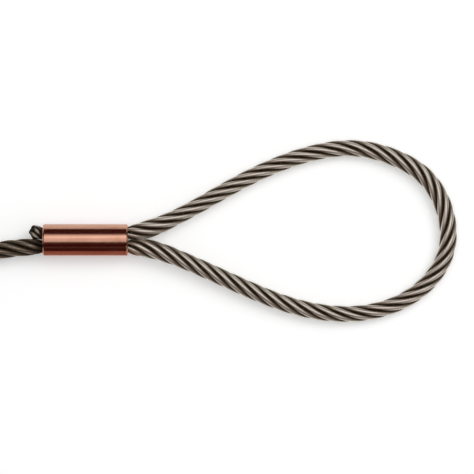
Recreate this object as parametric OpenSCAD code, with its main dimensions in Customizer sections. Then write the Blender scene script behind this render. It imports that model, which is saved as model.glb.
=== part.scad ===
// Wire rope sling with a soft eye at each end, each eye closed by a pressed ferrule.
// It lies on the plane z = 0. End A, with eye A, points towards +X. The rope between
// the ends is wound into a flat coil of three turns, held by two cable ties.
// Lengths are in millimetres. Routes are first laid out about the centre of ferrule A,
// and laid() then moves the whole sling so that the origin is at the middle of its base.

/* [Rope] */
// Diameter of the free rope over its strands, nominally 6
rope_d = 6.2; // [6:0.1:6.3]
// Number of strands around the core strand
outer_strands = 6; // [5:1:8]

/* [Ferrule] */
// Length of a pressed ferrule
ferrule_len = 34; // [32:0.5:35]
// Outside diameter of a pressed ferrule
ferrule_d = 12.8; // [12.4:0.1:13]
// Radius of the rounding round the ferrule's ends
ferrule_edge = 0.7; // [0.3:0.1:1]
// Diameter of the rope where the ferrule grips it
leg_d = 4.7; // [4.5:0.1:4.8]
// Distance between the centres of the two gripped legs
leg_pitch = 5; // [5:0.1:5.2]
// Lead-in chamfer at the mouth of each bore
mouth_edge = 0.3; // [0.1:0.1:0.5]
// How far the cut end of the rope stands out of the ferrule
tail_len = 5; // [3:0.5:6]

/* [Bends] */
// Distance from a ferrule's mouth to the bend of its eye
eye_bend_out = 14; // [13:0.5:15.5]
// Distance from ferrule A's mouth to the bend of the standing part
standing_bend_out = 19; // [18:0.5:20.5]
// Distance from the axis of a bend to the rope's solid on each side of it
bend_gap = 3; // [2.8:0.1:3.4]

/* [Coil] */
// Mean radius of the coil
coil_r = 30; // [29:0.5:30]
// Distance from the centre of ferrule A back to the coil's centre
coil_back = 90; // [88:1:92]
// How far the coil's centre lies to the +Y side of ferrule A
coil_side = 3.6; // [2:0.2:5]
// Width of a cable tie
tie_w = 3.6; // [2.5:0.1:4.8]
// Thickness of a cable tie
tie_t = 1; // [0.8:0.1:1.2]
// Bearing of each cable tie from the coil's centre
tie_angles = [180, 18]; // [0:1:359]

/* [End B] */
// Distance from the centre of ferrule A back to the centre of ferrule B
end_b_back = 147; // [145:1:150]
// How far ferrule B lies to the +Y side of ferrule A
end_b_side = -16.5; // [-18:0.5:-15]
// Heading of end B, from its ferrule towards its eye
end_b_heading = 167; // [165:0.5:169]

/* [Hidden] */
$fn = 96;

copper = [0.72, 0.42, 0.32];
steel = [0.42, 0.39, 0.36];
nylon = [0.1, 0.1, 0.11];

tube_sides = 12;
rope_r = rope_d / 2;
axis_z = ferrule_d / 2;
mouth_x = ferrule_len / 2;
leg_y = leg_pitch / 2;
straight_out = 5; // length over which a leg runs straight out of its mouth
strand_d = leg_d / 3;
strand_ring_r = strand_d * max(1, 0.5 / sin(180 / outer_strands));
loose_strand_d = 0.94 * strand_d;
core_len = 0.7 * tail_len;
cut_step = 0.12 * tail_len; // how much shorter one loose strand is cut than the next
coil_lift = tie_t;
coil_low_z = rope_r + coil_lift;
coil_high_z = coil_low_z + rope_d;
coil_out_r = coil_r + rope_d;
tie_head = [4.6, 6, 5];

// Route of an eye in its ferrule's own frame, from the cut end's leg round to the standing leg
EYE_ROUTE = [
  [8, leg_y, axis_z], [16, leg_y, axis_z], [24, 3.7, 6.2], [34, 7.8, 5.8], [46, 14.2, 5.1],
  [60, 22.4, 4.4], [75, 29.8, 3.8], [91, 35.4, 3.4], [108, 37.8, rope_r],
  [124, 33.5, rope_r], [137, 26, rope_r], [144.5, 12.5, rope_r], [146, -3, rope_r],
  [139.5, -15.5, rope_r], [128.5, -24.5, rope_r], [114, -29.5, rope_r],
  [98, -30, 3.3], [81, -26.4, 3.7], [65, -19.8, 4.2], [50, -12.9, 4.9],
  [36, -6.7, 5.7], [25, -3, 6.2], [16, -leg_y, axis_z], [8, -leg_y, axis_z]
];

// Route of the standing part from ferrule A to the first turn of the coil
LEAD_IN_ROUTE = [
  [-8, -leg_y, axis_z], [-16, -leg_y, axis_z], [-25, -2.9, 6.1], [-34, -3.8, 5.5], [-44, -7, 4.8],
  [-54, -13, 4.1], [-64, -20.4, 3.7], [-75, -26.6, 3.7], [-86, -29.6, coil_low_z],
  [-98, -29.2, coil_low_z]
];

// Route of the standing part from the last turn of the coil to ferrule B's mouth
LEAD_OUT_ROUTE = concat(
  [[-90, -30, coil_high_z], [-100, -28.4, coil_high_z], [-110, -25.6, 9.5], [-119, -22.6, 8]],
  [for (p = [[-24.7, -3.5, 6.5], [-17.1, -3, axis_z], [-9.5, -3, axis_z]]) at_b(p)]
);

// Point on a uniform cubic B-spline with control points p, in span i at share t
function spline_point(p, i, t) =
  ((1 - t) ^ 3 * p[i] + (3 * t ^ 3 - 6 * t ^ 2 + 4) * p[i + 1]
  + (-3 * t ^ 3 + 3 * t ^ 2 + 3 * t + 1) * p[i + 2] + t ^ 3 * p[i + 3]) / 6;

// Points along that spline, n to a span
function spline(p, n) = [
  for (i = [0 : len(p) - 4]) for (k = [0 : n - 1]) spline_point(p, i, k / n),
  spline_point(p, len(p) - 4, 1)
];

function unit(v) = v / norm(v);

// A point of end A's frame, carried to end B
function at_b(p) = [
  -end_b_back + p.x * cos(end_b_heading) - p.y * sin(end_b_heading),
  end_b_side + p.x * sin(end_b_heading) + p.y * cos(end_b_heading),
  p.z
];

function backwards(line) = [for (k = [len(line) - 1 : -1 : 0]) line[k]];

// Number of the first segment of a line that passes x
function segment_at(line, x, k = 0) =
  (line[k].x - x) * (line[k + 1].x - x) <= 0 ? k : segment_at(line, x, k + 1);

// The point where a line first passes x
function point_at(line, x) =
  let (a = line[segment_at(line, x)], b = line[segment_at(line, x) + 1])
    a + (b - a) * (x - a.x) / (b.x - a.x);

// The part of a line between where it first passes x1 and where it first passes x2
function between(line, x1, x2) = [
  point_at(line, x1),
  for (k = [segment_at(line, x1) + 1 : segment_at(line, x2)]) line[k],
  point_at(line, x2)
];

// A line from where it first passes x
function after(line, x) =
  [point_at(line, x), for (k = [segment_at(line, x) + 1 : len(line) - 1]) line[k]];

eye_bend_x = mouth_x + eye_bend_out;
standing_bend_x = -mouth_x - standing_bend_out;

// The eye's rope, from one of its bends round to the other
eye_line = backwards(after(
  backwards(after(spline(EYE_ROUTE, 1), eye_bend_x + bend_gap)), eye_bend_x + bend_gap
));

// The legs: straight through the ferrule, then along the eye's route to short of its bend
leg_reach = [mouth_x + straight_out, eye_bend_x - bend_gap];
dead_leg_line = [
  [-mouth_x, leg_y, axis_z], [mouth_x, leg_y, axis_z],
  each between(spline(EYE_ROUTE, 2), leg_reach[0], leg_reach[1])
];
live_leg_line = [
  [-mouth_x, -leg_y, axis_z], [mouth_x, -leg_y, axis_z],
  each between(spline(backwards(EYE_ROUTE), 2), leg_reach[0], leg_reach[1])
];

// The standing part's first stretch out of ferrule A, to short of its bend
standing_line = [
  [-mouth_x, -leg_y, axis_z],
  each between(spline(LEAD_IN_ROUTE, 2), -mouth_x - straight_out, standing_bend_x + bend_gap)
];
lead_in_line = after(spline(LEAD_IN_ROUTE, 1), standing_bend_x - bend_gap);
lead_out_line = spline(LEAD_OUT_ROUTE, 1);

// The box that the two eyes fill, and the shift that puts the origin at the middle of its base
eye_b_line = [for (p = eye_line) at_b(p)];
x_shift = -(max([for (p = eye_line) p.x]) + min([for (p = eye_b_line) p.x])) / 2;
y_low = min([for (p = concat(eye_line, eye_b_line)) p.y]);
y_high = max([for (p = concat(eye_line, eye_b_line)) p.y]);
y_shift = -(y_low + y_high) / 2;

module laid() {
  translate([x_shift, y_shift, 0]) children();
}

module end_b() {
  translate([-end_b_back, end_b_side, 0]) rotate([0, 0, end_b_heading]) children();
}

// One closed tube swept along a line of points, with rings square to the line
module swept(line, d) {
  last = len(line) - 1;
  rings = [
    for (k = [0 : last])
      let (
        along = unit(line[min(k + 1, last)] - line[max(k - 1, 0)]),
        side = unit(cross([0, 0, 1], along)),
        up = cross(along, side)
      )
      for (s = [0 : tube_sides - 1])
        line[k] + d / 2 * (cos(360 * s / tube_sides) * side + sin(360 * s / tube_sides) * up)
  ];
  walls = [
    for (k = [0 : last - 1])
      for (s = [0 : tube_sides - 1])
        let (a = k * tube_sides + s, b = k * tube_sides + (s + 1) % tube_sides)
          each [[a, b, a + tube_sides], [b, b + tube_sides, a + tube_sides]]
  ];
  near_cap = [for (s = [tube_sides - 1 : -1 : 0]) s];
  far_cap = [for (s = [0 : tube_sides - 1]) last * tube_sides + s];
  polyhedron(points = rings, faces = concat([near_cap, far_cap], walls));
}

// A ferrule's outside: a bar with rounded ends
module ferrule_blank() {
  centre = [ferrule_d / 2, mouth_x] - [ferrule_edge, ferrule_edge];
  rounding = [for (a = [0 : 22.5 : 90]) centre + ferrule_edge * [cos(a), sin(a)]];
  rotate([0, 90, 0])
    rotate_extrude()
      polygon(concat(
        rounding, [[0, mouth_x], [0, -mouth_x]],
        [for (p = backwards(rounding)) [p.x, -p.y]]
      ));
}

module leg_bore() {
  rotate([0, 90, 0]) {
    cylinder(h = ferrule_len + 2, d = leg_d, center = true);
    for (flip = [0, 180])
      rotate([flip, 0, 0])
        translate([0, 0, mouth_x - mouth_edge])
          cylinder(h = 2 * mouth_edge, d1 = leg_d, d2 = leg_d + 4 * mouth_edge);
  }
}

module ferrule() {
  color(copper)
    translate([0, 0, axis_z])
      difference() {
        ferrule_blank();
        for (side = [-1, 1]) translate([0, side * leg_y, 0]) leg_bore();
      }
}

// The legs of an eye, which run through the ferrule and end short of the eye's bend
module dead_leg() {
  color(steel) swept(dead_leg_line, leg_d);
}

module live_leg() {
  color(steel) swept(live_leg_line, leg_d);
}

// Eye A's live leg goes on out of the other mouth, towards the bend of the standing part
module live_leg_and_standing() {
  legs = concat(backwards(standing_line), [for (k = [1 : len(live_leg_line) - 1]) live_leg_line[k]]);
  color(steel) swept(legs, leg_d);
}

// The strands of the cut end, cut off unevenly
module dead_end() {
  color(steel)
    translate([-mouth_x, leg_y, axis_z])
      rotate([0, -90, 0]) {
        cylinder(h = core_len, d = loose_strand_d);
        for (k = [0 : outer_strands - 1])
          rotate([0, 0, 360 * k / outer_strands])
            translate([strand_ring_r, 0, 0])
              cylinder(h = tail_len - cut_step * (k % 3), d = loose_strand_d);
      }
}

module eye() {
  color(steel) swept(eye_line, rope_d);
}

// The standing part on either side of the coil
module lead_in() {
  color(steel) swept(lead_in_line, rope_d);
}

module lead_out() {
  color(steel) swept(lead_out_line, rope_d);
}

// Section of the coil: two turns wide and two high, with round corners
module coil_section(grow = 0) {
  translate([coil_r, (coil_low_z + coil_high_z) / 2]) {
    square([2 * rope_d + 2 * grow, rope_d], center = true);
    square([rope_d, 2 * rope_d + 2 * grow], center = true);
    for (sx = [-1, 1]) for (sz = [-1, 1]) translate([sx, sz] * rope_r) circle(r = rope_r + grow);
  }
}

module at_coil() {
  translate([-coil_back, coil_side, 0]) children();
}

module rope_coil() {
  color(steel) at_coil() rotate_extrude() coil_section();
}

// A cable tie pulled tight round the coil, with its head on the outside
module coil_tie(angle) {
  head_at = [coil_out_r + tie_t / 2, -tie_head.y / 2, coil_high_z - tie_head.z / 2];
  color(nylon)
    at_coil()
      rotate([0, 0, angle]) {
        translate([0, tie_w / 2, 0])
          rotate([90, 0, 0])
            linear_extrude(tie_w)
              difference() {
                coil_section(tie_t);
                coil_section();
              }
        translate(head_at) cube(tie_head);
      }
}

laid() ferrule();  // ferrule_a
laid() dead_leg();  // dead_leg_a
laid() live_leg_and_standing();  // live_leg_a
laid() dead_end();  // dead_end_a
laid() eye();  // eye_a
laid() end_b() ferrule();  // ferrule_b
laid() end_b() dead_leg();  // dead_leg_b
laid() end_b() live_leg();  // live_leg_b
laid() end_b() dead_end();  // dead_end_b
laid() end_b() eye();  // eye_b
laid() lead_in();
laid() rope_coil();
laid() lead_out();
laid() coil_tie(tie_angles[0]);  // coil_tie_1
laid() coil_tie(tie_angles[1]);  // coil_tie_2
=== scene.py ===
"""A wire rope sling: a soft eye at each end, closed by a pressed copper ferrule, and the
rope between the ends coiled and held by two ties. It lies on the plane z = 0. Routes are
first laid out about the centre of ferrule A, then moved to the frame that the parts use.
"""

import math

import bmesh
import bpy
import numpy as np
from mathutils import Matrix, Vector


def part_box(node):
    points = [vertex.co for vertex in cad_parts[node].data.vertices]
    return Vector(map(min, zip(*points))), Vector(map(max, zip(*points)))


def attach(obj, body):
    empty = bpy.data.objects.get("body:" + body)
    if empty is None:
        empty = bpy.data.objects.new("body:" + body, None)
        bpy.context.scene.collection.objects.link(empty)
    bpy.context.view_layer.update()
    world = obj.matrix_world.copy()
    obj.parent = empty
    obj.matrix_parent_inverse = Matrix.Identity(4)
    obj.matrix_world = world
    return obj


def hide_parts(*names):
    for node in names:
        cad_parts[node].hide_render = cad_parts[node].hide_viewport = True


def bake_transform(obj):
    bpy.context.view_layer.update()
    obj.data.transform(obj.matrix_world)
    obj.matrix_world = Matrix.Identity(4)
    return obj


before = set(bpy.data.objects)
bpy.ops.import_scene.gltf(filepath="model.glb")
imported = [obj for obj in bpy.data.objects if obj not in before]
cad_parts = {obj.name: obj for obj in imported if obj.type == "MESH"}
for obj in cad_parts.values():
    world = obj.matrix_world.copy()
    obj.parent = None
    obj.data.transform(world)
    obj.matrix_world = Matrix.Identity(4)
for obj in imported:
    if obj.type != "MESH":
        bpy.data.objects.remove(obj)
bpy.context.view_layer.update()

# ---------------------------------------------------------------- sizes and places, in metres
MM = 0.001
ROPE_R = 3.1 * MM  # free rope
LEG_R = 2.33 * MM  # rope where a ferrule grips it
LAY = 44 * MM  # length along the rope in which a strand goes round once, right-handed
OUTER_STRANDS = 6
STRAND_RING = 0.677  # how far out the strands' centres lie, as a share of the rope's radius
STRAND_SIZE = 0.323  # a strand's radius, as a share of the rope's
WIRES = 12  # wires that show on a strand
WIRES_DEEP = 5  # a strand's radius in wire radii: a core wire and two layers round it
STRAND_LAY = 14 * MM  # the wires go round their strand the other way
# How far out each point round a wire lies, as a share of the strand's radius, groove first
WIRE_SHARES = {3: (0.965, 0.997, 0.997), 2: (0.968, 1.0)}
FLANK_SHADE = 0.01  # painted shade: how much darker the crowns are painted on the rope's flanks, where they face sideways
SWELL = 4.5 * MM  # length over which the rope swells out of a ferrule to its free size
IN_BORE = 9 * MM  # how much of each rope lies inside a ferrule

ORIGIN = np.mean(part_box("ferrule_a"), axis=0) * [1, 1, 0]


def layout_box(node):
    """A CAD node's box in the layout, to the micrometre."""
    return np.round(np.array(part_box(node)) - ORIGIN, 6)


ferrule_high = layout_box("ferrule_a")[1]
MOUTH_X, AXIS_Z = ferrule_high[0], ferrule_high[2] / 2
LEG_Y = 2.5 * MM  # each of a ferrule's bores lies so far from its middle
END_B = np.mean(layout_box("ferrule_b"), axis=0)
END_B_HEADING = math.radians(167)

coil_low, coil_high = layout_box("rope_coil")
COIL = (coil_low + coil_high) / 2
COIL_OUT = coil_high[0] - COIL[0] - ROPE_R  # the two radii that the turns lie at
COIL_IN = COIL_OUT - 2 * ROPE_R
COIL_LOW, COIL_HIGH = coil_low[2] + ROPE_R, coil_high[2] - ROPE_R  # and their two heights
COIL_TURNS = 3
COIL_STEPS = 24  # control points in each turn
# When the rope moves in, up and out again, and for how long, both in turns
MOVES_IN, MOVES_UP, MOVES_OUT = (0.68, 0.28), (1.33, 0.35), (2.0, 0.5)
SPLINE_STEPS = 40  # points worked out between two control points

# ---------------------------------------------------------------- routes
# The eye in its ferrule's own frame, from the cut end's leg round to the standing leg
EYE_ROUTE = MM * np.array([
    [0, 2.5, 6.4], [8, 2.5, 6.4], [16, 2.5, 6.4], [24, 3.7, 6.2], [34, 7.8, 5.8],
    [46, 14.2, 5.1], [60, 22.4, 4.4], [75, 29.8, 3.8], [91, 35.4, 3.4], [108, 37.8, 3.1],
    [124, 33.5, 3.1], [137, 26, 3.1], [144.5, 12.5, 3.1], [146, -3, 3.1], [139.5, -15.5, 3.1],
    [128.5, -24.5, 3.1], [114, -29.5, 3.1], [98, -30, 3.3], [81, -26.4, 3.7], [65, -19.8, 4.2],
    [50, -12.9, 4.9], [36, -6.7, 5.7], [25, -3, 6.2], [16, -2.5, 6.4], [8, -2.5, 6.4],
    [0, -2.5, 6.4],
])
# The standing part from ferrule A to the coil, and from the coil to ferrule B
LEAD_IN = MM * np.array([
    [0, -2.5, 6.4], [-8, -2.5, 6.4], [-16, -2.5, 6.4], [-25, -2.9, 6.1], [-34, -3.8, 5.5],
    [-44, -7, 4.8], [-54, -13, 4.1], [-64, -20.4, 3.7], [-75, -26.6, 3.7],
])
LEAD_OUT_FREE = MM * np.array([[-110, -25.6, 9.5], [-119, -22.6, 8]])
LEAD_OUT_BORE = MM * np.array([
    [-24.7, -3.1, 6.5], [-17.1, -2.5, 6.4], [-8.5, -2.5, 6.4], [0, -2.5, 6.4],
])


def smoothstep(x, start=0.0, length=1.0):
    """Rises smoothly from 0 at start to 1 a length further on."""
    x = np.clip((x - start) / length, 0, 1)
    return x * x * (3 - 2 * x)


def hump(x, height, at, width):
    """A smooth hump of so much about a place."""
    return height * np.exp(-((x - at) / width) ** 2)


def at_b(points):
    """Points of end A's layout, carried to end B."""
    c, s = math.cos(END_B_HEADING), math.sin(END_B_HEADING)
    p = np.asarray(points, float)
    x = END_B[0] + c * p[..., 0] - s * p[..., 1]
    y = END_B[1] + s * p[..., 0] + c * p[..., 1]
    return np.stack([x, y, p[..., 2]], -1)


def coil_radius_height(turns):
    """The radius and height of the coil's rope after so many turns: the outer bottom turn, the
    inner one, then up and out over them."""
    inward = smoothstep(turns, *MOVES_IN) - smoothstep(turns, *MOVES_OUT)
    radius = COIL_OUT + (COIL_IN - COIL_OUT) * inward
    return radius, COIL_LOW + (COIL_HIGH - COIL_LOW) * smoothstep(turns, *MOVES_UP)


def coil_points():
    """Control points evenly round the coil, clockwise from the side next to the ferrules."""
    # A cubic B-spline cuts inside its control points by this
    pull = (2 + math.cos(2 * math.pi / COIL_STEPS)) / 3
    turns = (np.arange(COIL_TURNS * COIL_STEPS + 2) - 0.5) / COIL_STEPS
    radius, height = coil_radius_height(turns)
    angle = -math.pi / 2 - 2 * math.pi * turns
    x = COIL[0] + radius / pull * np.cos(angle)
    y = COIL[1] + radius / pull * np.sin(angle)
    return np.stack([x, y, height], 1)


def spline(control, spacing):
    """A uniform cubic B-spline, as points an even spacing apart."""
    p = np.asarray(control, float)
    t = np.linspace(0, 1, SPLINE_STEPS, endpoint=False)[:, None]
    pieces = []
    for i in range(len(p) - 3):
        a, b, c, d = p[i:i + 4]
        pieces.append(
            ((1 - t) ** 3 * a + (3 * t ** 3 - 6 * t ** 2 + 4) * b
             + (-3 * t ** 3 + 3 * t ** 2 + 3 * t + 1) * c + t ** 3 * d) / 6
        )
    fine = np.vstack(pieces)
    run = run_along(fine)
    stops = np.linspace(0, run[-1], int(round(run[-1] / spacing)) + 1)
    return np.stack([np.interp(stops, run, fine[:, k]) for k in range(3)], 1)


def run_along(path):
    """Distance along a path at each of its points."""
    return np.concatenate([[0], np.cumsum(np.linalg.norm(np.diff(path, axis=0), axis=1))])


def frames_along(path):
    """Tangents, and two directions square to them that turn as little as they can."""
    tangent = np.gradient(path, axis=0)
    tangent /= np.linalg.norm(tangent, axis=1)[:, None]
    normal = np.empty_like(path)
    n = np.cross([0.0, 0.0, 1.0], tangent[0])
    for k, t in enumerate(tangent):
        n = n - t * (n @ t)
        n /= np.linalg.norm(n)
        normal[k] = n
    return tangent, normal, np.cross(tangent, normal)


# ---------------------------------------------------------------- mesh helpers
def new_mesh(name, points, quads, crown=None, caps=()):
    """An object from points, quads and any larger faces. crown is how far each point stands
    from the rope's axis, as a share of the rope's radius, scaled down where the crowns are
    worn less and where shade is painted; the steel's colour follows it."""
    mesh = bpy.data.meshes.new(name)
    faces = quads.tolist() + [list(c) for c in caps]
    mesh.from_pydata(points.tolist(), [], faces)
    mesh.polygons.foreach_set("use_smooth", [True] * len(faces))
    if crown is not None:
        attribute = mesh.attributes.new("crown", "FLOAT", "POINT")
        attribute.data.foreach_set("value", np.asarray(crown, np.float32))
    mesh.update()
    obj = bpy.data.objects.new(name, mesh)
    bpy.context.scene.collection.objects.link(obj)
    return obj


def tube_quads(rings, sides, first=0):
    """Faces of one tube of so many rings, whose points come ring by ring."""
    r, s = np.meshgrid(np.arange(rings - 1), np.arange(sides), indexing="ij")
    a = first + r * sides + s
    b = first + r * sides + (s + 1) % sides
    return np.stack([a, b, b + sides, a + sides], -1).reshape(-1, 4)


def wire_profile(per_wire):
    """Angles round a strand, and the share of its radius at each: wires with grooves between."""
    steps = np.arange(WIRES * per_wire) / per_wire - 0.5
    return steps * 2 * math.pi / WIRES, np.tile(WIRE_SHARES[per_wire], WIRES)


def rope_mesh(name, path, radius, per_wire, start_turn, spread, wear_and_shade):
    """Stranded rope along a path. radius is the rope's radius at each point of it, start_turn
    the place of its first strand as a share of a turn, and spread the share by which it has
    spread sideways. The last argument scales how bright its crowns are: worn bright, and
    darker where shade is painted. Each wire has per_wire points."""
    tangent, normal, binormal = frames_along(path)
    run = run_along(path)
    angles, shares = wire_profile(per_wire)
    sides, rings = len(angles), len(path)
    points, quads, crowns, caps = [], [], [], []
    rate = 2 * math.pi / LAY
    for strand in range(OUTER_STRANDS):
        theta = rate * run + 2 * math.pi * (strand / OUTER_STRANDS + start_turn)
        out = np.cos(theta)[:, None] * normal + np.sin(theta)[:, None] * binormal
        around = np.cross(tangent, out)
        ring_r = radius * STRAND_RING
        strand_r = radius * STRAND_SIZE
        centre = path + ring_r[:, None] * out
        along = tangent + (ring_r * rate)[:, None] * around
        along /= np.linalg.norm(along, axis=1)[:, None]
        side = np.cross(along, out)
        phi = angles[None, :] - (2 * math.pi / STRAND_LAY + rate) * run[:, None] + strand
        reach = strand_r[:, None] * shares[None, :]
        ring = (
            centre[:, None, :] + (reach * np.cos(phi))[..., None] * out[:, None, :]
            + (reach * np.sin(phi))[..., None] * side[:, None, :]
        )
        offset = ring - path[:, None, :]
        sideways = np.sum(offset * normal[:, None, :], axis=2)
        distance = np.linalg.norm(offset, axis=2)
        # Painted shade: crowns that face sideways are painted a little darker.
        shaded_flank = smoothstep(np.abs(sideways) / distance, 0.5, 0.5)
        crown = (np.reshape(wear_and_shade, (-1, 1)) - FLANK_SHADE * shaded_flank) * distance / radius[:, None]
        crowns.append(crown.ravel())
        first = strand * rings * sides
        quads.append(tube_quads(rings, sides, first))
        caps.append(range(first + sides - 1, first - 1, -1))
        caps.append(range(first + (rings - 1) * sides, first + rings * sides))
        ring = ring + (sideways * np.reshape(spread, (-1, 1)))[..., None] * normal[:, None, :]
        points.append(ring.reshape(-1, 3))
    return new_mesh(name, np.vstack(points), np.vstack(quads), np.concatenate(crowns), caps)


def swollen(out):
    """How far the rope has swollen to its free size at a distance out of a ferrule."""
    return 1 - (1 - np.clip(out / SWELL, 0, 1)) ** 2


def radius_along(path, bulges):
    """The rope's radius along a path: gripped inside the ferrules at its ends, then swelling
    to its free size and opening past it. bulges has, for each end, how far it opens, how far
    out of the mouth, and over what length."""
    run = run_along(path)
    from_start, from_end = run - IN_BORE, run[-1] - run - IN_BORE
    radius = LEG_R + (ROPE_R - LEG_R) * swollen(np.minimum(from_start, from_end))
    for out, bulge in zip((from_start, from_end), bulges):
        radius += hump(out, *bulge) * swollen(out)
    return radius


# ---------------------------------------------------------------- camera
VIEW_CENTRE = (60.5 * MM, 1.2 * MM)
MIDDLE = ORIGIN + np.array([*VIEW_CENTRE, 0])  # where it looks, which the lights stand about
VIEW_WIDTH, VIEW_Z = 189.6 * MM, 4.1 * MM  # how much it takes in, at a height
CAMERA_HEIGHT = 1.5
SENSOR = 36.0

camera_data = bpy.data.cameras.new("camera")
camera = bpy.data.objects.new("camera", camera_data)
bpy.context.scene.collection.objects.link(camera)
camera.location = (MIDDLE[0], MIDDLE[1], CAMERA_HEIGHT)
camera_data.sensor_width = SENSOR
camera_data.lens = SENSOR * (CAMERA_HEIGHT - VIEW_Z) / VIEW_WIDTH
camera_data.clip_end = 20
bpy.context.scene.camera = camera


# ---------------------------------------------------------------- materials
def material(name):
    """A node material with one shader. Returns it, its node tree and the shader."""
    mat = bpy.data.materials.new(name)
    mat.use_nodes = True
    tree = mat.node_tree
    tree.nodes.clear()
    out = tree.nodes.new("ShaderNodeOutputMaterial")
    shader = tree.nodes.new("ShaderNodeBsdfPrincipled")
    tree.links.new(shader.outputs["BSDF"], out.inputs["Surface"])
    return mat, tree, shader


def ramp(tree, source, stops, colour=True):
    """A ramp fed by a socket; stops are (position, value) pairs."""
    node = tree.nodes.new("ShaderNodeValToRGB")
    elements = node.color_ramp.elements
    for k, (at, value) in enumerate(stops):
        element = elements[k] if k < 2 else elements.new(at)
        element.position = at
        element.color = (*value, 1) if colour else (value, value, value, 1)
    tree.links.new(source, node.inputs["Fac"])
    return node.outputs["Color"]


def noise(tree, vector, scale, detail=3.0, roughness=0.5):
    """Noise of so many features to a metre."""
    node = tree.nodes.new("ShaderNodeTexNoise")
    node.inputs["Scale"].default_value = scale
    node.inputs["Detail"].default_value = detail
    node.inputs["Roughness"].default_value = roughness
    tree.links.new(vector, node.inputs["Vector"])
    return node.outputs["Fac"]


def maths(tree, kind, a, b):
    """One sum of two sockets or numbers."""
    node = tree.nodes.new("ShaderNodeMath")
    node.operation = kind
    for socket, value in zip(node.inputs, (a, b)):
        if isinstance(value, (int, float)):
            socket.default_value = value
        else:
            tree.links.new(value, socket)
    return node.outputs["Value"]


def bump(tree, height, distance, strength):
    node = tree.nodes.new("ShaderNodeBump")
    node.inputs["Distance"].default_value = distance
    node.inputs["Strength"].default_value = strength
    tree.links.new(height, node.inputs["Height"])
    return node.outputs["Normal"]


def object_coordinates(tree, turn=0.0, stretch=(1, 1, 1)):
    """The row frame's coordinates, turned about Z and stretched."""
    coordinates = tree.nodes.new("ShaderNodeTexCoord")
    mapping = tree.nodes.new("ShaderNodeMapping")
    mapping.inputs["Rotation"].default_value = (0, 0, turn)
    mapping.inputs["Scale"].default_value = stretch
    tree.links.new(coordinates.outputs["Object"], mapping.inputs["Vector"])
    return mapping.outputs["Vector"]


def steel_material():
    """Bare wire rope: bright worn crowns, and dark dry lubricant in the valleys and grooves with
    painted shade over it, darkest where a point lies deepest.
    """
    mat, tree, shader = material("wire_rope_steel")
    crown = tree.nodes.new("ShaderNodeAttribute")
    crown.attribute_name = "crown"
    vector = object_coordinates(tree)
    blotches = maths(tree, "SUBTRACT", noise(tree, vector, 900, 4, 0.6), 0.5)
    height = maths(tree, "ADD", crown.outputs["Fac"], maths(tree, "MULTIPLY", blotches, 0.05))
    # The colour follows the crown: the deeper a point lies among the strands and wires, the darker
    # it is painted, as shade in the valleys and grooves.
    tree.links.new(ramp(tree, height, [
        (0.0, (0.002, 0.001, 0.001)), (0.74, (0.010, 0.006, 0.002)), (0.83, (0.038, 0.022, 0.007)),
        (0.895, (0.20, 0.16, 0.11)), (0.95, (0.69, 0.65, 0.56)), (1.0, (0.80, 0.765, 0.675)),
    ]), shader.inputs["Base Color"])
    tree.links.new(ramp(tree, height, [(0.83, 0.0), (0.90, 1.0)], False), shader.inputs["Metallic"])
    rough = ramp(tree, height, [(0.82, 0.60), (0.94, 0.42)], False)
    tree.links.new(rough, shader.inputs["Roughness"])
    grain = noise(tree, vector, 3500, 2)
    tree.links.new(bump(tree, grain, 0.03 * MM, 0.4), shader.inputs["Normal"])
    shader.inputs["Specular IOR Level"].default_value = 0.3
    return mat


def copper_material(name, turn):
    """Pressed copper, drawn along its axis, with brown tarnish that follows the drawing."""
    mat, tree, shader = material(name)
    drawn = object_coordinates(tree, turn, (1, 40, 40))
    lines = noise(tree, drawn, 28, 6, 0.65)
    cloud = noise(tree, object_coordinates(tree), 160, 3)
    tone = maths(
        tree, "ADD", maths(tree, "MULTIPLY", lines, 0.6), maths(tree, "MULTIPLY", cloud, 0.4)
    )
    tree.links.new(ramp(tree, tone, [
        (0.30, (0.42, 0.19, 0.12)), (0.46, (0.54, 0.29, 0.20)), (0.66, (0.60, 0.34, 0.25)),
    ]), shader.inputs["Base Color"])
    shader.inputs["Metallic"].default_value = 1.0
    tree.links.new(ramp(tree, lines, [(0.3, 0.26), (0.65, 0.17)], False), shader.inputs["Roughness"])
    tree.links.new(bump(tree, lines, 0.02 * MM, 0.5), shader.inputs["Normal"])
    return mat


def nylon_material():
    """Black nylon with a fine matte skin."""
    mat, tree, shader = material("tie_nylon")
    vector = object_coordinates(tree)
    skin = noise(tree, vector, 2600, 3)
    tree.links.new(ramp(tree, noise(tree, vector, 300), [
        (0.3, (0.010, 0.010, 0.011)), (0.7, (0.022, 0.022, 0.024)),
    ]), shader.inputs["Base Color"])
    tree.links.new(ramp(tree, skin, [(0.3, 0.42), (0.7, 0.56)], False), shader.inputs["Roughness"])
    tree.links.new(bump(tree, skin, 0.04 * MM, 0.5), shader.inputs["Normal"])
    return mat


STEEL = steel_material()
NYLON = nylon_material()


# ---------------------------------------------------------------- the three ropes
def make_rope(name, path, bulges, per_wire, start_turn, spread, wear_and_shade):
    """One rope piece of bare steel, from one ferrule's bore to another's."""
    obj = rope_mesh(name, path, radius_along(path, bulges), per_wire, start_turn, spread, wear_and_shade)
    obj.data.materials.append(STEEL)
    return obj


def to_row(points):
    """Points of the layout, carried to the row frame."""
    return np.asarray(points, float) + ORIGIN


EYE_SPACING, STANDING_SPACING = 1.0 * MM, 1.05 * MM  # between a rope's rings
EYE_WIRE_POINTS, STANDING_WIRE_POINTS = 3, 2
EYE_A_TURN, EYE_B_TURN, STANDING_TURN = 0.095, 0.4, 0.3  # where each rope's first strand starts

eye_path = spline(EYE_ROUTE, EYE_SPACING)
standing_path = spline(
    np.vstack([LEAD_IN, coil_points(), LEAD_OUT_FREE, at_b(LEAD_OUT_BORE)]), STANDING_SPACING
)

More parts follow.
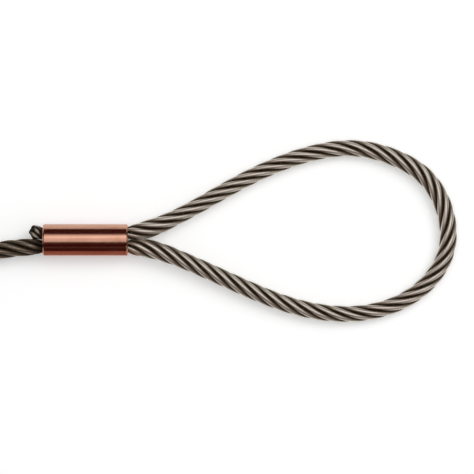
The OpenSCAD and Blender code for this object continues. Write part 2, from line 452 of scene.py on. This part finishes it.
# An eye's rope has spread sideways, by these shares of its width: a little everywhere, most of
# all in its tightest bend, and more in its standing leg than in the cut end's. Places and
# lengths along the eye are shares of its whole length.
SPREAD = 0.04
BEND_SPREAD = (0.13, 0.45, 0.12)
LEG_SPREAD, LEG_PLACE = 0.06, (0.6, 0.2)
# Its strands have slipped round in the same bend, by a share of a turn
SLIP = (-0.037, 0.44, 0.1)
share = np.linspace(0, 1, len(eye_path))
eye_spread = SPREAD + hump(share, *BEND_SPREAD) + LEG_SPREAD * smoothstep(share, *LEG_PLACE)
eye_slip = hump(share, *SLIP)

# The crowns are worn bright round an eye. Along the standing part, shade is painted into them:
# darkest at the ferrules' mouths, lighter a few millimetres out, and lighter again from 20 to
# 50 mm out, towards the coil.
EYE_WEAR = 1.0
MOUTH_SHADE_LEVEL, SHADE_LIFT, FAR_SHADE_LIFT = 0.79, 0.135, 0.045
SHADE_LIFT_PLACE, FAR_SHADE_LIFT_PLACE = (0, 4.5 * MM), (20 * MM, 50 * MM)
standing_run = run_along(standing_path)
from_mouth = np.minimum(standing_run, standing_run[-1] - standing_run) - IN_BORE
standing_wear_and_shade = (
    MOUTH_SHADE_LEVEL + SHADE_LIFT * smoothstep(from_mouth, *SHADE_LIFT_PLACE)
    + FAR_SHADE_LIFT * smoothstep(from_mouth, *FAR_SHADE_LIFT_PLACE)
)

EYE_BULGES = MM * np.array([(0.45, 9, 8), (0.35, 9, 8)])
STANDING_BULGES = MM * np.array([(0.45, 13, 14), (0.2, 8, 6)])

rope_eye_a = make_rope(
    "rope_eye_a", to_row(eye_path), EYE_BULGES, EYE_WIRE_POINTS, EYE_A_TURN + eye_slip,
    eye_spread, EYE_WEAR,
)
rope_standing = make_rope(
    "rope_standing", to_row(standing_path), STANDING_BULGES, STANDING_WIRE_POINTS,
    STANDING_TURN, 0.0, standing_wear_and_shade,
)
rope_eye_b = make_rope(
    "rope_eye_b", to_row(at_b(eye_path)), EYE_BULGES, EYE_WIRE_POINTS, EYE_B_TURN + eye_slip,
    eye_spread, EYE_WEAR,
)

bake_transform(rope_eye_a)
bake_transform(rope_standing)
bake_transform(rope_eye_b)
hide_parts("eye_a", "dead_leg_a")
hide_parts("lead_in", "rope_coil", "lead_out", "live_leg_a", "live_leg_b")
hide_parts("eye_b", "dead_leg_b")

# ---------------------------------------------------------------- the cut ends
CUT_LAY = 19 * MM  # the strands' lay where they have sprung loose
CUT_LAYERS = [(0, 1), (2, 6), (4, 12)]  # a strand's layers: wire radii out, and how many wires
CUT_INSIDE = 4 * MM  # how far the loose strands reach back into the bore
CUT_LONG, CUT_DOME = 5.2 * MM, 0.6  # how far it reaches, and how much less towards its edges
WIRES_UNEVEN, STRANDS_UNEVEN = 0.25 * MM, 0.4 * MM  # how unevenly they are cut
SCATTER = (7.3, 2.9, 1.0)  # angles by strand, wire and layer that make the wires differ
STRAND_SCATTER = 2.6
CUT_OPENS_IN = 2 * MM
CUT_LEAN = 0.55 * MM  # the loose end leans away from the standing part
CUT_OPEN = 0.45 * MM  # its strands open by so much
LAYERS_OPEN, WIRES_SWELL = 0.25, 0.22  # and their layers and wires by these shares
CUT_RINGS, CUT_SIDES = 12, 8
CUT_TIP = 0.7  # the last ring of a wire, as a share of its size
CUT_WEAR = 1.0
CUT_SHADE = 0.2  # painted shade: how much darker it is painted right at the mouth and at its tip
MOUTH_SHADE_LONG = 3 * MM
TIP_SHADE_BACK, TIP_SHADE_LONG = 1.7 * MM, 1.3 * MM


def wire_at(s, start, ring, layer, phase):
    """The y and z of a wire at distances s out of the mouth. Its strand starts at an angle on
    a ring of 0 or 1 times the strands' ring, and the wire at a phase round the strand."""
    opened = smoothstep(s, 0, CUT_OPENS_IN)
    theta = 2 * math.pi * s / CUT_LAY + start
    phi = phase - 2 * math.pi * s / STRAND_LAY
    ring_r = ring * (LEG_R * STRAND_RING + CUT_OPEN * opened)
    reach = layer * LEG_R * STRAND_SIZE / WIRES_DEEP * (1 + LAYERS_OPEN * opened)
    # The route runs towards -X, so +Z crossed with its direction is -Y
    y = LEG_Y + CUT_LEAN * opened - (ring_r * np.cos(theta) + reach * np.cos(phi))
    z = AXIS_Z + ring_r * np.sin(theta) + reach * np.sin(phi)
    return y, z


def cut_wire(length, *wire):
    """The rings of points of one wire of the cut end, which stands so far out of the mouth, and
    their crowns. wire is what wire_at takes."""
    s = np.linspace(-CUT_INSIDE, length, CUT_RINGS)
    y, z = wire_at(s, *wire)
    line = np.stack([-MOUTH_X - s, y, z], 1)
    _, normal, binormal = frames_along(line)
    opened = smoothstep(s, 0, CUT_OPENS_IN)
    wire_r = LEG_R * STRAND_SIZE / WIRES_DEEP * (1 + WIRES_SWELL * opened)
    wire_r[-1] *= CUT_TIP
    turn = np.linspace(0, 2 * math.pi, CUT_SIDES, endpoint=False)
    rings = line[:, None, :] + wire_r[:, None, None] * (
        np.cos(turn)[None, :, None] * normal[:, None, :]
        + np.sin(turn)[None, :, None] * binormal[:, None, :]
    )
    centre_y = LEG_Y + CUT_LEAN * opened
    far = np.hypot(rings[..., 1] - centre_y[:, None], rings[..., 2] - AXIS_Z)
    # Painted shade: darker at the mouth, where the ferrule shades the wires, and towards their tips,
    # where the cut face lies in shade.
    painted_shade = 1 - smoothstep(s, 0, MOUTH_SHADE_LONG)
    painted_shade += smoothstep(s, length - TIP_SHADE_BACK, TIP_SHADE_LONG)
    bright = (CUT_WEAR - CUT_SHADE * painted_shade) / (LEG_R + CUT_OPEN * opened)
    return rings, bright[:, None] * far


def cut_end(name, place):
    """Core and six strands, each of 19 wires, standing loose out of the left mouth. place
    carries a point of a ferrule's own frame to the row frame."""
    strands = [(0.0, 0.0)] + [(2 * math.pi * k / OUTER_STRANDS, 1.0) for k in range(OUTER_STRANDS)]
    points, quads, crowns, caps = [], [], [], []
    for strand, (start, ring) in enumerate(strands):
        for layer, number in CUT_LAYERS:
            for wire in range(number):
                phase = 2 * math.pi * wire / number + strand
                # Where the domed cut meets the wire, and no two wires quite alike
                y, _ = wire_at(CUT_LONG, start, ring, layer, phase)
                length = CUT_LONG - CUT_DOME * abs(y - LEG_Y - CUT_LEAN)
                length += WIRES_UNEVEN * math.sin(np.dot(SCATTER, (strand, wire, layer)))
                length += STRANDS_UNEVEN * math.sin(STRAND_SCATTER * strand)
                rings, crown = cut_wire(length, start, ring, layer, phase)
                first = len(points) * CUT_RINGS * CUT_SIDES
                last = first + (CUT_RINGS - 1) * CUT_SIDES
                points.append(rings.reshape(-1, 3))
                crowns.append(crown.ravel())
                quads.append(tube_quads(CUT_RINGS, CUT_SIDES, first))
                caps.append(range(first + CUT_SIDES - 1, first - 1, -1))
                caps.append(range(last, last + CUT_SIDES))
    obj = new_mesh(name, place(np.vstack(points)), np.vstack(quads), np.concatenate(crowns), caps)
    obj.data.materials.append(STEEL)
    return obj


cut_end_a = cut_end("cut_end_a", to_row)
cut_end_b = cut_end("cut_end_b", lambda points: to_row(at_b(points)))
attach(cut_end_a, "end_a")
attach(cut_end_b, "coil_and_end_b")
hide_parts("dead_end_a")
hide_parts("dead_end_b")

# ---------------------------------------------------------------- the cable ties
TIE_W, TIE_T = 3.6 * MM, 1.0 * MM
TIE_EDGE = 0.25 * MM
BAND_STEPS = 72
# The head's blocks: their sizes out from the coil, along the rope and up, and their bevels
HEAD, HEAD_EDGE = MM * np.array([4.4, 5.6, 4.8]), 0.5 * MM
RIM, RIM_EDGE = MM * np.array([2.6, 4.4, 0.5]), 0.15 * MM
TAIL, TAIL_EDGE = np.array([TIE_T, TIE_W, 3.4 * MM]), 0.12 * MM
HEAD_SINK = 0.4 * MM  # how far the head stands into the band
TAIL_LIFT = 0.5 * MM  # how far the tail's middle is above the rim's


def block(bm, size, centre, edge):
    """Adds a block with bevelled edges."""
    made = bmesh.ops.create_cube(bm, size=1.0)["verts"]
    for v in made:
        v.co = Vector([c * w for c, w in zip(v.co, size)]) + Vector(centre)
    edges = list({e for v in made for e in v.link_edges})
    bmesh.ops.bevel(bm, geom=edges, offset=edge, segments=2, profile=0.5, affect="EDGES")


def band(bm, ropes):
    """Adds a tie's band, pulled tight round ropes at these radii and heights."""
    w, t, e = TIE_W / 2, TIE_T, TIE_EDGE
    section = [(-w, 0), (-w, t - e), (e - w, t), (w - e, t), (w, t - e), (w, 0)]
    rings = []
    for k in range(BAND_STEPS):
        angle = 2 * math.pi * (k + 0.5) / BAND_STEPS
        out = np.array([math.cos(angle), math.sin(angle)])
        held = max(ropes, key=lambda rope: np.dot(rope, out))
        rings.append([
            bm.verts.new((held[0] + (ROPE_R + h) * out[0], y, held[1] + (ROPE_R + h) * out[1]))
            for y, h in section
        ])
    for k in range(BAND_STEPS):
        a, b = rings[k], rings[(k + 1) % BAND_STEPS]
        for i in range(len(section)):
            j = (i + 1) % len(section)
            bm.faces.new((a[i], a[j], b[j], b[i]))


def tie(name, bearing, ropes, head_z):
    """A cable tie at a bearing round the coil, drawn with x out from the coil, y along the
    rope and z up. ropes are the radii and heights of the ropes that it holds."""
    bm = bmesh.new()
    band(bm, ropes)
    head_x = max(rope[0] for rope in ropes) + ROPE_R + TIE_T - HEAD_SINK + HEAD[0] / 2
    block(bm, HEAD, (head_x, 0, head_z), HEAD_EDGE)
    # The rim round the head's slot, and the cut-off tail that stands out of it
    rim_z = head_z + HEAD[2] / 2
    block(bm, RIM, (head_x, 0, rim_z), RIM_EDGE)
    block(bm, TAIL, (head_x, 0, rim_z + TAIL_LIFT), TAIL_EDGE)
    bmesh.ops.recalc_face_normals(bm, faces=bm.faces)
    mesh = bpy.data.meshes.new(name)
    bm.to_mesh(mesh)
    bm.free()
    obj = bpy.data.objects.new(name, mesh)
    bpy.context.scene.collection.objects.link(obj)
    c, s = math.cos(bearing), math.sin(bearing)
    turned = np.array([[c, -s, 0], [s, c, 0], [0, 0, 1]])
    shape = np.array([v.co for v in mesh.vertices]) @ turned.T
    mesh.vertices.foreach_set("co", to_row(shape + [COIL[0], COIL[1], 0]).ravel())
    mesh.update()
    mesh.materials.append(NYLON)
    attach(obj, "coil_and_end_b")
    return obj


tie_1 = tie(
    "tie_1", bearing=math.radians(180), head_z=5.6 * MM,
    ropes=[(COIL_OUT, COIL_LOW), (COIL_IN, COIL_LOW), ((COIL_OUT + COIL_IN) / 2, COIL_HIGH)],
)
tie_2 = tie(
    "tie_2", bearing=math.radians(18), head_z=7.2 * MM,
    ropes=[(COIL_OUT, COIL_LOW), (COIL_IN, COIL_HIGH), (COIL_OUT, COIL_HIGH)],
)
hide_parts("coil_tie_1")
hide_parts("coil_tie_2")

# ---------------------------------------------------------------- carried-over CAD nodes
for node, turn in (("ferrule_a", 0.0), ("ferrule_b", -END_B_HEADING)):
    copper = copper_material("copper_" + node, turn)
    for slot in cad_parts[node].material_slots:
        slot.material = copper

# ---------------------------------------------------------------- floor and light
FLOOR_HALF = 4.0
# Its glow: how far in from its edge, as a share of FLOOR_HALF, and how strong
FLOOR_GLOW = [(0.0, 0.475), (0.75, 0.41), (0.875, 0.36), (0.96, 0.265)]
floor = new_mesh(
    "floor", FLOOR_HALF * np.array([[-1.0, -1, 0], [1, -1, 0], [1, 1, 0], [-1, 1, 0]]),
    np.array([[0, 1, 2, 3]]),
)
floor_mat, floor_tree, floor_shader = material("pale_floor")
floor_shader.inputs["Base Color"].default_value = (0.9, 0.9, 0.9, 1)
floor_shader.inputs["Roughness"].default_value = 0.9
floor_shader.inputs["Specular IOR Level"].default_value = 0.1
floor_shader.inputs["Emission Color"].default_value = (1, 1, 1, 1)
# It glows faintly, and more so further off, where the lights reach it less
floor.location = tuple(float(x) for x in MIDDLE)
falloff = floor_tree.nodes.new("ShaderNodeTexGradient")
falloff.gradient_type = "SPHERICAL"
scaled = object_coordinates(floor_tree, stretch=(1 / FLOOR_HALF,) * 3)
floor_tree.links.new(scaled, falloff.inputs["Vector"])
glow = ramp(floor_tree, falloff.outputs["Fac"], FLOOR_GLOW, False)
floor_tree.links.new(glow, floor_shader.inputs["Emission Strength"])
floor.data.materials.append(floor_mat)

# A low brown card beside ferrule A. Only mirrors see it: it darkens the band that the side of
# the ferrule would mirror from the bright floor.
CARD_Y, CARD_BACK = -13 * MM, -34 * MM
CARD_FOOT, CARD_TOP = 0.2 * MM, 11 * MM
CARD_X = MOUTH_X + 4 * MM
card = new_mesh(
    "card", to_row([
        [x, y, z] for y, z in ((CARD_Y, CARD_FOOT), (CARD_Y, CARD_TOP), (CARD_BACK, CARD_TOP))
        for x in (-CARD_X, CARD_X)
    ]), np.array([[0, 1, 3, 2], [2, 3, 5, 4]]),
)
card_mat, _, card_shader = material("brown_card")
card_shader.inputs["Base Color"].default_value = (0.62, 0.30, 0.24, 1)
card_shader.inputs["Roughness"].default_value = 0.9
card.data.materials.append(card_mat)
card.visible_camera = card.visible_diffuse = card.visible_shadow = False


def area_light(name, width, depth, radiance, location):
    """A rectangular light of an even radiance that the camera doesn't see. It faces down."""
    light = bpy.data.lights.new(name, "AREA")
    light.shape = "RECTANGLE"
    light.size, light.size_y = width, depth
    light.energy = radiance * math.pi * width * depth
    lamp = bpy.data.objects.new(name, light)
    lamp.location = tuple(float(x) for x in location)
    lamp.visible_camera = False
    bpy.context.scene.collection.objects.link(lamp)
    return lamp


def aim(lamp, direction):
    """Turns a lamp that stands in a direction from the middle to face the middle."""
    lamp.rotation_mode = "QUATERNION"
    lamp.rotation_quaternion = Vector(direction).to_track_quat("Z", "Y")


# One large soft box overhead, brightest along a strip past its middle. It reaches from a little
# past the vertical on the near side to well down on the far side, which sets the bands that
# the ferrules mirror, and a dim strip low on the near side gives their faint lower line. Each
# strip is its two edges, as angles from the vertical, and its radiance.
BOX_HEIGHT = 2.0
BOX_X = (-0.9, 1.7)
BOX_STRIPS = ((-59, -52, 0.1), (-14, 3, 1.0), (3, 14, 1.2), (14, 30, 1.5), (30, 39.5, 1.0))
for near, far, radiance in BOX_STRIPS:
    near_y, far_y = (BOX_HEIGHT * math.tan(math.radians(a)) for a in (near, far))
    centre = (MIDDLE[0] + sum(BOX_X) / 2, ORIGIN[1] + (near_y + far_y) / 2, BOX_HEIGHT)
    area_light("soft_box", BOX_X[1] - BOX_X[0], far_y - near_y, radiance, centre)

# A key light from the upper right, which sends the shadows down and to the left. It isn't
# mirrored, so that the soft box alone sets the bright bands.
KEY_FROM = np.array([0.95, 0.75, 1.25])
KEY_SIDE = 0.9
KEY_RADIANCE = 2.7
key = area_light("key", KEY_SIDE, KEY_SIDE, KEY_RADIANCE, MIDDLE + KEY_FROM)
key.visible_glossy = False
aim(key, KEY_FROM)

# Two dim panels that only mirrors see. They brighten the rope's near and left flanks, and stand
# clear of what ferrule A mirrors from above.
PANEL_BEARINGS = (-50, 180)
PANEL_ELEVATION = 25
PANEL_DISTANCE, PANEL_SIDE = 2.0, 1.2
PANEL_RADIANCE = 0.6
for bearing in PANEL_BEARINGS:
    a, e = math.radians(bearing), math.radians(PANEL_ELEVATION)
    stands = PANEL_DISTANCE * np.array(
        [math.cos(e) * math.cos(a), math.cos(e) * math.sin(a), math.sin(e)]
    )
    panel = area_light("panel", PANEL_SIDE, PANEL_SIDE, PANEL_RADIANCE, MIDDLE + stands)
    panel.visible_diffuse = False
    aim(panel, stands)

# Dark surroundings for the metal to mirror, an even fill for everything that isn't a mirror,
# and a pale backdrop.
FILL = (0.385, 0.385, 0.385)
DARK = (0.050, 0.002, 0.001)
PALE = (0.86, 0.86, 0.86)
world = bpy.data.worlds.new("studio")
bpy.context.scene.world = world
world.use_nodes = True
world_tree = world.node_tree
world_tree.nodes.clear()
world_out = world_tree.nodes.new("ShaderNodeOutputWorld")
light_path = world_tree.nodes.new("ShaderNodeLightPath")


def backdrop(colour):
    """Surroundings of one colour."""
    node = world_tree.nodes.new("ShaderNodeBackground")
    node.inputs["Color"].default_value = (*colour, 1)
    return node.outputs["Background"]


def either(test, if_not, if_so):
    """One of two surroundings, by whether a ray passes a test."""
    node = world_tree.nodes.new("ShaderNodeMixShader")
    for socket, source in zip(node.inputs, (test, if_not, if_so)):
        world_tree.links.new(source, socket)
    return node.outputs["Shader"]


shown = either(light_path.outputs["Is Glossy Ray"], backdrop(FILL), backdrop(DARK))
shown = either(light_path.outputs["Is Camera Ray"], shown, backdrop(PALE))
world_tree.links.new(shown, world_out.inputs["Surface"])

bpy.context.scene.view_settings.view_transform = "Standard"
